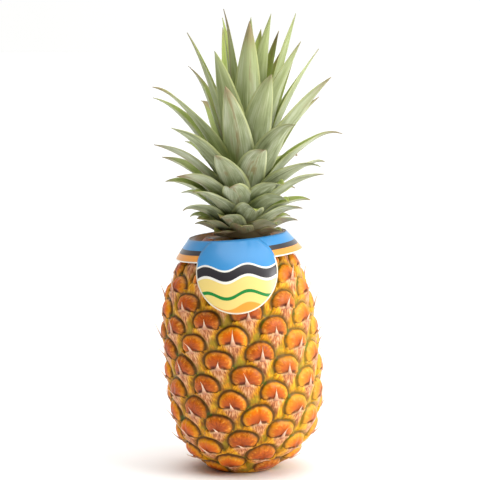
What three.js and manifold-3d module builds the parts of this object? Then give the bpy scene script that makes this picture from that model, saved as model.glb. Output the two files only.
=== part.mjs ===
// A fresh pineapple on its trimmed base, with its leafy crown and a paper collar round the neck.
// Millimetres, +Z up. The origin is the centre of the flat base and the front faces -Y.
import * as THREE from "three";
import { ConvexHull } from "three/addons/math/ConvexHull.js";
import Module from "manifold-3d";

const wasm = await Module();
wasm.setup();

const radians = THREE.MathUtils.degToRad;
const GOLDEN_ANGLE = radians(137.508);
const UP = new THREE.Vector3(0, 0, 1);

// Fruit outline: two flattened half-ovals that meet at the widest height.
const FRUIT_HEIGHT = 170;
const FRUIT_RADIUS = 58.3;
const WIDEST_HEIGHT = 92;
const LOWER_REACH = 96;
const LOWER_POWER = 3.7;
const UPPER_REACH = 86;
const UPPER_POWER = 2.3;
const FRUIT_SWAY = 2.7;
const PROFILE_STEPS = 1000;
const RIM_SIDES = 36;

// Eyes: one for each equal share of the skin, turned by the golden angle from the one below.
const EYE_COUNT = 119;
const EYE_AREA = 500;
const EYE_START_ANGLE = radians(90.5);
const EYE_RELIEF = 4.2;
const EYE_FADE = 16;
const EYE_MAX_REACH = 15;
const SHOULDER_SIDES = 9;
const SHOULDER_REACH = 0.66;
const SHOULDER_DROP = 0.8;
const GROOVE_DIRECTIONS = 30;
const GROOVE_SPACING = 4.6;
const RIM_MARGIN = 2.5;

// Bract: a small spike near the middle of each eye that leans up over it.
const BRACT_SIDES = 4;
const BRACT_RADIUS = 2.6;
const BRACT_PROUD = 2.5;
const BRACT_RISE = 5;
const BRACT_MARGIN = 12;

// Crown: a tapered core carrying leaves in golden-angle order, lowest first.
const CROWN_GAP = 1.5;
const CROWN_LEAN = radians(2.2);
const CORE_HEIGHT = 60;
const CORE_BASE_RADIUS = 21;
const CORE_TOP_RADIUS = 4;
const CORE_SIDES = 16;
const LEAF_COUNT = 63;
const SKIRT_LEAVES = 7;
const LEAF_START_ANGLE = radians(223);
const LEAF_SEED = 28;
const LEAF_STATIONS = [0, 0.25, 0.5, 0.72, 0.88];
const LEAF_BASE_THICKNESS = 2.6;
const LEAF_TIP_THICKNESS = 1;
const LEAF_CHANNEL = 0.2;
const LEAF_TAPER = 2.5;
const LEAF_CURL_POWER = 1.6;
const LEAF_HOOK_START = 0.7;
const LEAF_SINK = 0.8;
const LEAF_STEPS = 24;

// How the leaves change from the skirt (order below 0) to the innermost (order 1), with angles in degrees.
const LEAF_STAGES = [
  { order: -0.12, length: 14, width: 16, tilt: 78, curl: 16, hook: 30, height: 1 },
  { order: 0.0, length: 24, width: 18, tilt: 52, curl: 40, hook: 50, height: 2 },
  { order: 0.08, length: 27, width: 19, tilt: 54, curl: 42, hook: 60, height: 4 },
  { order: 0.2, length: 40, width: 23, tilt: 50, curl: 46, hook: 60, height: 11 },
  { order: 0.4, length: 57, width: 24, tilt: 45, curl: 40, hook: 50, height: 20 },
  { order: 0.58, length: 78, width: 24, tilt: 37, curl: 38, hook: 40, height: 29 },
  { order: 0.72, length: 101, width: 25, tilt: 27, curl: 22, hook: 30, height: 37 },
  { order: 0.88, length: 116, width: 25, tilt: 12, curl: 6, hook: 20, height: 42 },
  { order: 1.0, length: 110, width: 18, tilt: 5, curl: 6, hook: 10, height: 50 },
];
const TILT_SCATTER = 4;
const CURL_SCATTER = 9;
const LENGTH_SCATTER = 0.09;
const TURN_SCATTER = 7;

// Collar: a card ring lying on the shoulder of the fruit, with a round disc that bends down in front.
const COLLAR_CENTRE = new THREE.Vector3(-3.3, -1.5, 172.3);
const COLLAR_TILT = radians(0.5);
const COLLAR_ROLL = radians(5);
const COLLAR_SLOPE = radians(39);
const COLLAR_BEND = radians(0.58);
const COLLAR_BEND_START = 9;
const COLLAR_TOP_RADIUS = 35.4;
const COLLAR_BAND = 18;
const COLLAR_BAND_ROWS = 4;
const COLLAR_COLUMNS = 48;
const CARD_THICKNESS = 0.8;
const DISC_RADIUS = 30.5;
const DISC_DROP = 26;
const DISC_TRIM = 0.6;
const DISC_SIDES = 36;
const DISC_RINGS = [0.4, 0.75, 1];
const DISC_PROUD = 0.45;
const DISC_SHIFT = -2.8;

// Colour and roughness of each piece.
const RIND = { color: 0xc9772a, roughness: 0.55 };
const LEAF = { color: 0x8a9a64, roughness: 0.6 };
const PAPER = { color: 0x3c96d7, roughness: 0.35 };

// A solid for joining, from a closed geometry.
function toSolid(geometry) {
  const vertProperties = new Float32Array(geometry.getAttribute("position").array);
  const triVerts = new Uint32Array(geometry.getIndex().array);
  const mesh = new wasm.Mesh({ numProp: 3, vertProperties, triVerts });
  mesh.merge();
  return new wasm.Manifold(mesh);
}

// Joins closed geometries into one solid and returns it as a geometry.
function join(geometries) {
  const solids = geometries.map(toSolid);
  const whole = solids.slice(1).reduce((sum, solid) => sum.add(solid), solids[0]);
  const mesh = whole.getMesh();
  const geometry = new THREE.BufferGeometry();
  geometry.setAttribute("position", new THREE.BufferAttribute(mesh.vertProperties, 3));
  geometry.setIndex(new THREE.BufferAttribute(mesh.triVerts, 1));
  return geometry;
}

// A closed solid skinned over rings of points, with a single point at each end.
// Each ring runs anticlockwise as seen from beyond the last point.
function skin(first, rings, last) {
  const sides = rings[0].length;
  const points = [first, ...rings.flat(), last];
  const at = (ring, side) => 1 + ring * sides + (side % sides);
  const end = rings.length - 1;
  const faces = [];
  for (let side = 0; side < sides; side++) {
    faces.push(0, at(0, side + 1), at(0, side));
    for (let ring = 0; ring < end; ring++) {
      faces.push(at(ring, side), at(ring, side + 1), at(ring + 1, side + 1));
      faces.push(at(ring, side), at(ring + 1, side + 1), at(ring + 1, side));
    }
    faces.push(at(end, side), at(end, side + 1), points.length - 1);
  }
  const geometry = new THREE.BufferGeometry().setFromPoints(points);
  geometry.setIndex(faces);
  return geometry;
}

// Even directions round a circle.
function directions(count) {
  return Array.from({ length: count }, (_, index) => (2 * Math.PI * index) / count);
}

// A mesh with its own material.
function part(name, geometry, finish) {
  const mesh = new THREE.Mesh(geometry, new THREE.MeshStandardMaterial({ ...finish, metalness: 0 }));
  mesh.name = name;
  return mesh;
}

// A repeatable scatter between -1 and 1 for a leaf, with its own stream for each trait.
function scatter(index, stream) {
  const raw = Math.sin(index * 12.9898 + (stream + LEAF_SEED) * 78.233) * 43758.5453;
  return 2 * (raw - Math.floor(raw)) - 1;
}

// Radius of the fruit's outline over the tops of its eyes.
function fruitRadius(z) {
  const lower = Math.pow(Math.abs(WIDEST_HEIGHT - z) / LOWER_REACH, LOWER_POWER);
  const upper = Math.pow(Math.abs(z - WIDEST_HEIGHT) / UPPER_REACH, UPPER_POWER);
  return FRUIT_RADIUS * Math.sqrt(1 - (z < WIDEST_HEIGHT ? lower : upper));
}

// Sideways drift of the fruit's middle line.
function fruitSway(z) {
  return FRUIT_SWAY * Math.sin((2 * Math.PI * z) / FRUIT_HEIGHT);
}

// The outline from base to neck, with the distance along it, the skin area below each row
// and the stretch: the distance counted in local radii, which maps the skin onto a ball without shear.
function traceProfile() {
  const rows = [{ along: 0, area: 0, stretch: 0, z: 0, radius: fruitRadius(0) }];
  for (let step = 1; step <= PROFILE_STEPS; step++) {
    const last = rows[step - 1];
    const z = (FRUIT_HEIGHT * step) / PROFILE_STEPS;
    const radius = fruitRadius(z);
    const length = Math.hypot(z - last.z, radius - last.radius);
    const area = last.area + Math.PI * (radius + last.radius) * length;
    const stretch = last.stretch + (2 * length) / (radius + last.radius);
    rows.push({ along: last.along + length, area, stretch, z, radius });
  }
  return rows;
}

const PROFILE = traceProfile();
const PROFILE_LENGTH = PROFILE[PROFILE_STEPS].along;

// The outline row where the given column reaches a value, and the outline's direction there.
function profileAt(column, value) {
  const above = PROFILE.findIndex((row) => row[column] > value);
  const index = above < 0 ? PROFILE_STEPS : Math.max(above, 1);
  const low = PROFILE[index - 1];
  const high = PROFILE[index];
  const share = THREE.MathUtils.clamp((value - low[column]) / (high[column] - low[column]), 0, 1);
  const blend = (key) => low[key] + share * (high[key] - low[key]);
  const length = high.along - low.along;
  return {
    along: blend("along"),
    stretch: blend("stretch"),
    z: blend("z"),
    radius: blend("radius"),
    rise: (high.z - low.z) / length,
    spread: (high.radius - low.radius) / length,
  };
}

// Depth of the grooves between the eyes, which fades out at the base and the neck.
function reliefAt(along) {
  const base = THREE.MathUtils.smoothstep(along, 0, EYE_FADE);
  const neck = THREE.MathUtils.smoothstep(PROFILE_LENGTH - along, 0, EYE_FADE);
  return EYE_RELIEF * base * neck;
}

// A point of the skin at an angle from the front, lifted square to the outline.
function skinPoint(angle, along, lift) {
  const row = profileAt("along", along);
  const radius = row.radius + lift * row.rise;
  const x = fruitSway(row.z) + radius * Math.sin(angle);
  return new THREE.Vector3(x, -radius * Math.cos(angle), Math.max(row.z - lift * row.spread, 0));
}

// Where each eye sits on the skin.
function eyeSeats() {
  return Array.from({ length: EYE_COUNT }, (_, index) => {
    const order = index + 1;
    const row = profileAt("area", order * EYE_AREA);
    return { angle: EYE_START_ANGLE - order * GOLDEN_ANGLE, along: row.along, radius: row.radius };
  });
}

const EYES = eyeSeats();

// Step from one seat on the skin to another, measured across and up the unrolled skin.
function stepBetween(from, to) {
  const turn = to.angle - from.angle;
  const across = (Math.atan2(Math.sin(turn), Math.cos(turn)) * (from.radius + to.radius)) / 2;
  return new THREE.Vector2(across, to.along - from.along);
}

// Distance from an eye's middle to the groove in one direction, half-way to its neighbours.
function eyeReach(eye, direction) {
  const heading = new THREE.Vector2(Math.cos(direction), Math.sin(direction));
  const steps = EYES.filter((other) => other !== eye).map((other) => stepBetween(eye, other));
  const ahead = steps.filter((step) => step.dot(heading) > 0);
  return Math.min(EYE_MAX_REACH, ...ahead.map((step) => step.lengthSq() / 2 / step.dot(heading)));
}

// A seat on the skin, a distance from an eye's middle in one direction.
function seatNear(eye, direction, distance) {
  const row = profileAt("along", eye.along + distance * Math.sin(direction));
  const angle = eye.angle + (distance * Math.cos(direction)) / row.radius;
  return { angle, along: eye.along + distance * Math.sin(direction), radius: row.radius };
}

// Whether a seat keeps clear of the base and the neck.
function clearOfRims(seat, margin) {
  return seat.along > margin && seat.along < PROFILE_LENGTH - margin;
}

// Seats of one eye: the tip and foot of its bract and the shoulder of its pad.
function padSeats(eye) {
  const spiked = clearOfRims(eye, BRACT_MARGIN);
  const tip = { ...eye, lift: spiked ? BRACT_PROUD : 0, rise: spiked ? BRACT_RISE : 0 };
  const foot = directions(BRACT_SIDES).map((way) => {
    return { ...seatNear(eye, way, BRACT_RADIUS), lift: 0, rise: 0 };
  });
  const shoulder = directions(SHOULDER_SIDES).map((way) => {
    const seat = seatNear(eye, way, SHOULDER_REACH * eyeReach(eye, way));
    return { ...seat, lift: -SHOULDER_DROP * (reliefAt(seat.along) / EYE_RELIEF), rise: 0 };
  });
  return [tip, ...foot, ...shoulder];
}

// Seats along the bottoms of the grooves, kept apart from one another.
function grooveSeats() {
  const kept = [];
  for (const eye of EYES) {
    for (const way of directions(GROOVE_DIRECTIONS)) {
      const seat = seatNear(eye, way, eyeReach(eye, way));
      if (kept.every((other) => stepBetween(other, seat).length() > GROOVE_SPACING)) {
        kept.push({ ...seat, lift: -reliefAt(seat.along), rise: 0 });
      }
    }
  }
  return kept;
}

// Where a seat lies on the ball that the skin is spread over.
function ballPoint(seat) {
  const middle = PROFILE[PROFILE_STEPS].stretch / 2;
  const level = Math.tanh(profileAt("along", seat.along).stretch - middle);
  const girth = Math.sqrt(1 - level * level);
  return new THREE.Vector3(girth * Math.sin(seat.angle), -girth * Math.cos(seat.angle), level);
}

// The fruit: a skin over every seat, with neighbours found from the hull of the seats spread over a ball.
function makeFruit() {
  const inner = [...EYES.flatMap(padSeats), ...grooveSeats()].filter((seat) => clearOfRims(seat, RIM_MARGIN));
  const rims = directions(RIM_SIDES).flatMap((angle) => [
    { angle, along: 0, lift: 0, rise: 0 },
    { angle, along: PROFILE_LENGTH, lift: 0, rise: 0 },
  ]);
  const seats = [...rims, ...inner];
  const ball = seats.map(ballPoint);
  const numbers = new Map(ball.map((point, index) => [point, index]));
  const hull = new ConvexHull().setFromPoints(ball);
  const corners = (face) => [0, 1, 2].map((corner) => numbers.get(face.getEdge(corner).head().point));
  const points = seats.map((seat) => skinPoint(seat.angle, seat.along + seat.rise, seat.lift));
  const geometry = new THREE.BufferGeometry().setFromPoints(points);
  geometry.setIndex(hull.faces.flatMap(corners));
  return part("fruit", geometry, RIND);
}

// The leaf stage at an order up to 1.
function leafStage(order) {
  const index = Math.max(LEAF_STAGES.findIndex((stage) => stage.order >= order), 1);
  const low = LEAF_STAGES[index - 1];
  const high = LEAF_STAGES[index];
  const share = (order - low.order) / (high.order - low.order);
  const blend = (key) => low[key] + share * (high[key] - low[key]);
  return {
    length: blend("length"),
    width: blend("width"),
    tilt: blend("tilt"),
    curl: blend("curl"),
    hook: blend("hook"),
    height: blend("height"),
  };
}

// Radius of the crown's core at a height above its base.
function coreRadius(height) {
  return CORE_BASE_RADIUS + (CORE_TOP_RADIUS - CORE_BASE_RADIUS) * (height / CORE_HEIGHT);
}

// The core that carries the leaves.
function crownCore() {
  const outline = [[0, 0], [CORE_BASE_RADIUS, 0], [CORE_TOP_RADIUS, CORE_HEIGHT], [0, CORE_HEIGHT]];
  const points = outline.map(([radius, z]) => new THREE.Vector2(radius, z));
  return new THREE.LatheGeometry(points, CORE_SIDES).rotateX(Math.PI / 2);
}

// Middle line of a leaf in its own upright plane: distance out, height and lean at each share of its length.
function leafLine(stage, index) {
  const tilt = radians(stage.tilt + TILT_SCATTER * scatter(index, 1));
  const curl = radians(stage.curl + CURL_SCATTER * scatter(index, 2));
  const length = stage.length * (1 + LENGTH_SCATTER * scatter(index, 3));
  const hook = radians(stage.hook * Math.max(scatter(index, 5), 0));
  const lean = (share) => {
    const hooked = Math.max(share - LEAF_HOOK_START, 0) / (1 - LEAF_HOOK_START);
    return tilt + curl * Math.pow(share, LEAF_CURL_POWER) + hook * hooked * hooked;
  };
  return (share) => {
    let out = coreRadius(stage.height) * LEAF_SINK;
    let height = stage.height;
    for (let step = 0; step < LEAF_STEPS; step++) {
      const angle = lean((share * (step + 0.5)) / LEAF_STEPS);
      out += (Math.sin(angle) * share * length) / LEAF_STEPS;
      height += (Math.cos(angle) * share * length) / LEAF_STEPS;
    }
    return { out, height, lean: lean(share) };
  };
}

// One channelled leaf, thick in the middle and thin at its raised edges.
function crownLeaf(index) {
  const stage = leafStage(index / (LEAF_COUNT - 1));
  const line = leafLine(stage, index);
  const turn = LEAF_START_ANGLE - index * GOLDEN_ANGLE + radians(TURN_SCATTER * scatter(index, 4));
  const point = (share, side, lift) => {
    const at = line(share);
    const out = at.out - lift * Math.cos(at.lean);
    const z = at.height + lift * Math.sin(at.lean);
    return new THREE.Vector3(side, -out, z).applyAxisAngle(UP, turn);
  };
  const rings = LEAF_STATIONS.map((share) => {
    const width = stage.width * (1 - Math.pow(share, LEAF_TAPER));
    const thick = THREE.MathUtils.lerp(LEAF_BASE_THICKNESS, LEAF_TIP_THICKNESS, share) / 2;
    const raised = width * LEAF_CHANNEL;
    return [
      point(share, -width / 2, raised),
      point(share, 0, -thick),
      point(share, width / 2, raised),
      point(share, 0, thick),
    ];
  });
  return skin(point(0, 0, 0), rings, point(1, 0, 0));
}

// The crown: its core joined with every leaf.
function makeCrown() {
  const numbers = Array.from({ length: SKIRT_LEAVES + LEAF_COUNT }, (_, index) => index - SKIRT_LEAVES);
  const leaves = numbers.map(crownLeaf);
  const geometry = join([crownCore(), ...leaves]);
  geometry.rotateY(CROWN_LEAN);
  geometry.translate(0, 0, FRUIT_HEIGHT + CROWN_GAP);
  return part("crown", geometry, LEAF);
}

// A point of the collar: distance down the card from its rim, turn from the front and lift off the card.
// The card starts at the collar's slope and bends towards upright below the bend's start.
function cardPoint(down, turn, lift) {
  const straight = Math.min(down, COLLAR_BEND_START);
  const slope = COLLAR_SLOPE - COLLAR_BEND * (down - straight);
  const bentOut = (Math.cos(slope) - Math.cos(COLLAR_SLOPE)) / COLLAR_BEND;
  const bentDown = (Math.sin(COLLAR_SLOPE) - Math.sin(slope)) / COLLAR_BEND;
  const out = COLLAR_TOP_RADIUS + straight * Math.sin(COLLAR_SLOPE) + bentOut;
  const radius = out + lift * Math.cos(slope);
  const z = -straight * Math.cos(COLLAR_SLOPE) - bentDown + lift * Math.sin(slope);
  return new THREE.Vector3(radius * Math.sin(turn), -radius * Math.cos(turn), z);
}

// The ring round the neck.
function collarBand() {
  const half = CARD_THICKNESS / 2;
  const step = COLLAR_BAND / COLLAR_BAND_ROWS;
  const rows = Array.from({ length: COLLAR_BAND_ROWS + 1 }, (_, row) => step * row);
  const back = rows.map((down) => cardPoint(down, 0, -half));
  const front = rows.map((down) => cardPoint(down, 0, half)).reverse();
  const outline = [...back, ...front, back[0]].map((corner) => new THREE.Vector2(-corner.y, corner.z));
  return new THREE.LatheGeometry(outline, COLLAR_COLUMNS).rotateX(Math.PI / 2);
}

// How far the disc reaches from its middle: round, but cut off straight just below the collar's rim.
function discReach(way) {
  const room = DISC_DROP - DISC_TRIM;
  const upward = Math.sin(way);
  return DISC_RADIUS * upward > room ? room / upward : DISC_RADIUS;
}

// The disc in front, which hangs from the ring and follows the bend.
function collarDisc() {
  const place = (across, down, lift) => {
    const radius = -cardPoint(down, 0, 0).y;
    return cardPoint(down, across / radius, lift);
  };
  const ring = (fill, lift) => directions(DISC_SIDES).map((way) => {
    const reach = discReach(way) * fill;
    return place(DISC_SHIFT + reach * Math.cos(way), DISC_DROP - reach * Math.sin(way), lift);
  });
  const back = DISC_PROUD - CARD_THICKNESS / 2;
  const front = DISC_PROUD + CARD_THICKNESS / 2;
  const backRings = DISC_RINGS.map((fill) => ring(fill, back));
  const frontRings = DISC_RINGS.map((fill) => ring(fill, front)).reverse();
  const backMiddle = place(DISC_SHIFT, DISC_DROP, back);
  const frontMiddle = place(DISC_SHIFT, DISC_DROP, front);
  return skin(backMiddle, [...backRings, ...frontRings], frontMiddle);
}

// The paper collar, tipped a little forward and to one side on the neck.
function makeCollar() {
  const geometry = join([collarBand(), collarDisc()]);
  geometry.rotateX(COLLAR_TILT);
  geometry.rotateY(-COLLAR_ROLL);
  geometry.translate(COLLAR_CENTRE.x, COLLAR_CENTRE.y, COLLAR_CENTRE.z);
  return part("paper_collar", geometry, PAPER);
}

const pineapple = new THREE.Group();
pineapple.name = "pineapple";
pineapple.add(makeFruit(), makeCrown(), makeCollar());
export default pineapple;
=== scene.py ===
"""A fresh pineapple with its crown and a paper collar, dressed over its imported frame."""
import math

import bpy
import numpy as np
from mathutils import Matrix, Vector


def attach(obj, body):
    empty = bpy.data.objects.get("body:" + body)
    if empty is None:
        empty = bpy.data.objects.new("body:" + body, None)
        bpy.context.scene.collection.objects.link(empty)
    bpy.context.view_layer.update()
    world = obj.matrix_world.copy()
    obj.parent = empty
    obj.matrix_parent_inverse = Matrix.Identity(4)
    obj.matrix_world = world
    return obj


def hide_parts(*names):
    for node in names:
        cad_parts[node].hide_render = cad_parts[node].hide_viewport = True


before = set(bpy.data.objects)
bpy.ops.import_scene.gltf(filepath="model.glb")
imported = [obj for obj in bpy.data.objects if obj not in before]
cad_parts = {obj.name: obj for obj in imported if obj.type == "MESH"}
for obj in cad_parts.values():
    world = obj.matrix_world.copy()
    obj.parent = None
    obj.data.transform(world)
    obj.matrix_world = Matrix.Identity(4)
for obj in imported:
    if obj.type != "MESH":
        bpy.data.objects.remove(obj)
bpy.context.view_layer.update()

# Lengths below are millimetres in the frame of the part: +Z up, front towards -Y.
MM = 0.001
GOLDEN_ANGLE = math.radians(137.508)

# Repeatable draws and display colours.
SCATTER_INDEX_STEP = 12.9898
SCATTER_STREAM_STEP = 78.233
SCATTER_GAIN = 43758.5453
DISPLAY_LEVELS = 255
DISPLAY_OFFSET = 0.055
DISPLAY_POWER = 2.4

# Fruit outline: two flattened half-ovals that meet at the widest height.
FRUIT_HEIGHT = 170
FRUIT_RADIUS = 58.3
WIDEST_HEIGHT = 92
LOWER_REACH = 96
LOWER_POWER = 3.7
UPPER_REACH = 86
UPPER_POWER = 2.3
FRUIT_SWAY = 2.7
PROFILE_STEPS = 1000
SKIN_COLUMNS = 400
SKIN_ROWS = 236
SKIN_BATCHES = 12
CAP_RINGS = (0.7, 0.35)

# Eyes: one for each equal share of the skin, turned by the golden angle from the one below.
EYE_COUNT = 119
EYE_AREA = 500
EYE_START_ANGLE = math.radians(90.5)
EYE_FADE = 16
EYE_SEED = 11
EYE_ROLL_LIMIT = math.radians(9)
EYE_SIZE_SCATTER = 0.05
EYE_LOBE_COUNT = 3
EYE_LOBE_DEPTH = 0.04
OUT_OF_REACH = 9
EDGE_LIMIT = 2
CORNER_NEAR = 1.12
CORNER_FAR = 1.45
DOME_HALF_WIDTH = 11.6
DOME_HALF_HEIGHT = 9.2
DOME_RISE = 4
DOME_DEPTH = 3.4
DOME_POWER = 3.5
DOME_WRINKLES = 11
WRINKLE_DEPTH = 0.22
WRINKLE_SHIFT = 6
WRINKLE_START = 0.3
WRINKLE_FULL = 0.8
CREASE_DEPTH = 0.5
CREASE_WIDTH = 1.6
CREVICE_DROP = 2.8
CREVICE_PEAK = 1.3
CREVICE_FALL = 0.2
CREVICE_DEPTH = 1.5
CREVICE_WIDTH = 1.1
CREVICE_MIDDLE = (1, 2.5)
CREVICE_END = (9, 5)
GROOVE_DEPTH = 4
GROOVE_WIDTH = 4
BRACT_CENTRE_DROP = 7
BRACT_DROP = 0.5
BRACT_FALL = 0.2
BRACT_ROUNDING = 0.008
KEEL_HEIGHT = 0.6
KEEL_WIDTH = 2.4
KEEL_LENGTH = 6

# Bract tips: a dry papery point over each eye.
TIP_STATIONS = 12
TIP_COLUMNS = 5
TIP_LENGTH = 9.5
TIP_LENGTH_SCATTER = 0.3
TIP_WIDTH = 4.8
TIP_POINT_WIDTH = 0.5
TIP_POINT_TAPER = 0.7
TIP_THICKNESS = 0.4
TIP_THINNING = 0.5
TIP_FOLD = 0.7
TIP_ROOT = 1
TIP_RISE = 1.4
TIP_STAND = 3.4
TIP_STAND_SCATTER = 0.75
TIP_HOOK = 1.5
TIP_BEND = 4.5
TIP_MARGIN = 12
BAND_FOOT = 146
DISC_FOOT = 108

# Crown: a tapered core carrying leaves in golden-angle order, lowest first.
CROWN_GAP = 1.5
CROWN_LEAN = math.radians(2.2)
CORE_HEIGHT = 60
CORE_BASE_RADIUS = 21
CORE_TOP_RADIUS = 4
CORE_SIDES = 48
LEAF_COUNT = 63
SKIRT_LEAVES = 7
LEAF_START_ANGLE = math.radians(223)
LEAF_SEED = 28
LEAF_STATIONS = 34
LEAF_END = 0.995
LEAF_COLUMNS = 12
LEAF_BASE_THICKNESS = 2.2
LEAF_TIP_THICKNESS = 0.6
LEAF_EDGE_THINNING = 0.85
LEAF_CHANNEL = 0.2
LEAF_CHANNEL_POWER = 1.5
LEAF_WAVE = 0.035
LEAF_WAVES_ALONG = 9
LEAF_WAVES_ACROSS = 3
LEAF_WAVE_SHIFT = 6
LEAF_TAPER = 2.5
LEAF_CURL_POWER = 1.6
LEAF_HOOK_START = 0.7
LEAF_SINK = 0.8
LEAF_TWIST = 0.4
LEAF_BOW = 0.05
LEAF_STEPS = 240

# How the leaves change from the skirt (order below 0) to the innermost (order 1), with angles in degrees.
LEAF_ORDER = (-0.12, 0.0, 0.08, 0.2, 0.4, 0.58, 0.72, 0.88, 1.0)
LEAF_STAGES = {
    "length": (14, 24, 27, 40, 57, 78, 101, 116, 110),
    "width": (16, 18, 19, 23, 24, 24, 25, 25, 18),
    "tilt": (78, 52, 54, 50, 45, 37, 27, 12, 5),
    "curl": (16, 40, 42, 46, 40, 38, 22, 6, 6),
    "hook": (30, 50, 60, 60, 50, 40, 30, 20, 10),
    "height": (1, 2, 4, 11, 20, 29, 37, 42, 50),
}
TILT_SCATTER = 4
CURL_SCATTER = 9
LENGTH_SCATTER = 0.09
TURN_SCATTER = 7

# Collar: a card ring lying on the shoulder of the fruit, with a round disc that bends down in front.
COLLAR_CENTRE = (-3.3, -1.5, 172.3)
COLLAR_TILT = math.radians(0.5)
COLLAR_ROLL = math.radians(5)
COLLAR_SLOPE = math.radians(39)
COLLAR_BEND = math.radians(0.58)
COLLAR_BEND_START = 9
COLLAR_TOP_RADIUS = 35.4
COLLAR_BAND = 18
COLLAR_COLUMNS = 180
COLLAR_ROWS = 12
CARD_THICKNESS = 0.5
DISC_RADIUS = 30.5
DISC_DROP = 26
DISC_TRIM = 0.6
DISC_SIDES = 96
DISC_RINGS = 16
DISC_PROUD = 0.6
DISC_SHIFT = -2.8
DISC_HEART = 0.02
SMALLEST_SINE = 0.01

# Camera place in millimetres, its reach, the light and the floor in metres.
CAMERA_ELEVATION = math.radians(6)
CAMERA_DISTANCE = 1400
CAMERA_TARGET = (-1.5, 0, 168)
CAMERA_LENS = 143.8
CAMERA_REACH = 100
ROOM_COLOUR = (1, 1, 0.99, 1)
ROOM_LEVEL = 0.5
ROOM_SLOPE = (0.27, 0.53, 0)
OVERHEAD_LEVEL = 2.4
OVERHEAD_ANGLE = math.radians(70)
KEY_SIZE = 0.8
KEY_POWER = 13
KEY_PLACE = (1.0, -0.55, 0.75)
KEY_TARGET = (0, 0, 0.15)
FLOOR_SIDES = 96
FLOOR_RADIUS = 40
FLOOR_CLOTH_SCALE = 20
FLOOR_PALES = ((0.3, (0.92, 0.92, 0.91, 1)), (0.7, (0.94, 0.94, 0.93, 1)))


def smooth_step(value, low, high):
    """Eases from 0 at low to 1 at high."""
    share = np.clip((value - low) / (high - low), 0, 1)
    return share * share * (3 - 2 * share)


def scatter(index, stream, seed):
    """A repeatable draw between -1 and 1 for an index, with its own stream for each trait."""
    raw = np.sin(index * SCATTER_INDEX_STEP + (stream + seed) * SCATTER_STREAM_STEP) * SCATTER_GAIN
    return 2 * (raw - np.floor(raw)) - 1


def turned(points, axis, angle):
    """Points turned about X, Y or Z."""
    first, second = {"X": (1, 2), "Y": (2, 0), "Z": (0, 1)}[axis]
    result = points.copy()
    cosine = math.cos(angle)
    sine = math.sin(angle)
    result[..., first] = points[..., first] * cosine - points[..., second] * sine
    result[..., second] = points[..., first] * sine + points[..., second] * cosine
    return result


def grid_faces(rows, columns, start=0):
    """Quads over a grid of points, closed round its columns."""
    row, column = np.meshgrid(np.arange(rows - 1), np.arange(columns), indexing="ij")
    following = (column + 1) % columns
    corners = [row * columns + column, row * columns + following]
    corners += [corner + columns for corner in reversed(corners)]
    return (np.stack(corners, axis=-1).reshape(-1, 4) + start).tolist()


def make_piece(name, node, points, faces, fields, material):
    """A smooth mesh that stands for a node of the frame, with a value at each point for every field."""
    mesh = bpy.data.meshes.new(name)
    mesh.from_pydata((points * MM).tolist(), [], faces)
    for field, values in fields.items():
        layer = mesh.attributes.new(field, "FLOAT", "POINT")
        layer.data.foreach_set("value", np.asarray(values, dtype=np.float32).ravel())
    mesh.shade_smooth()
    mesh.materials.append(material)
    piece = bpy.data.objects.new(name, mesh)
    bpy.context.collection.objects.link(piece)
    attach(piece, "root")
    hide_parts(node)


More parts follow.
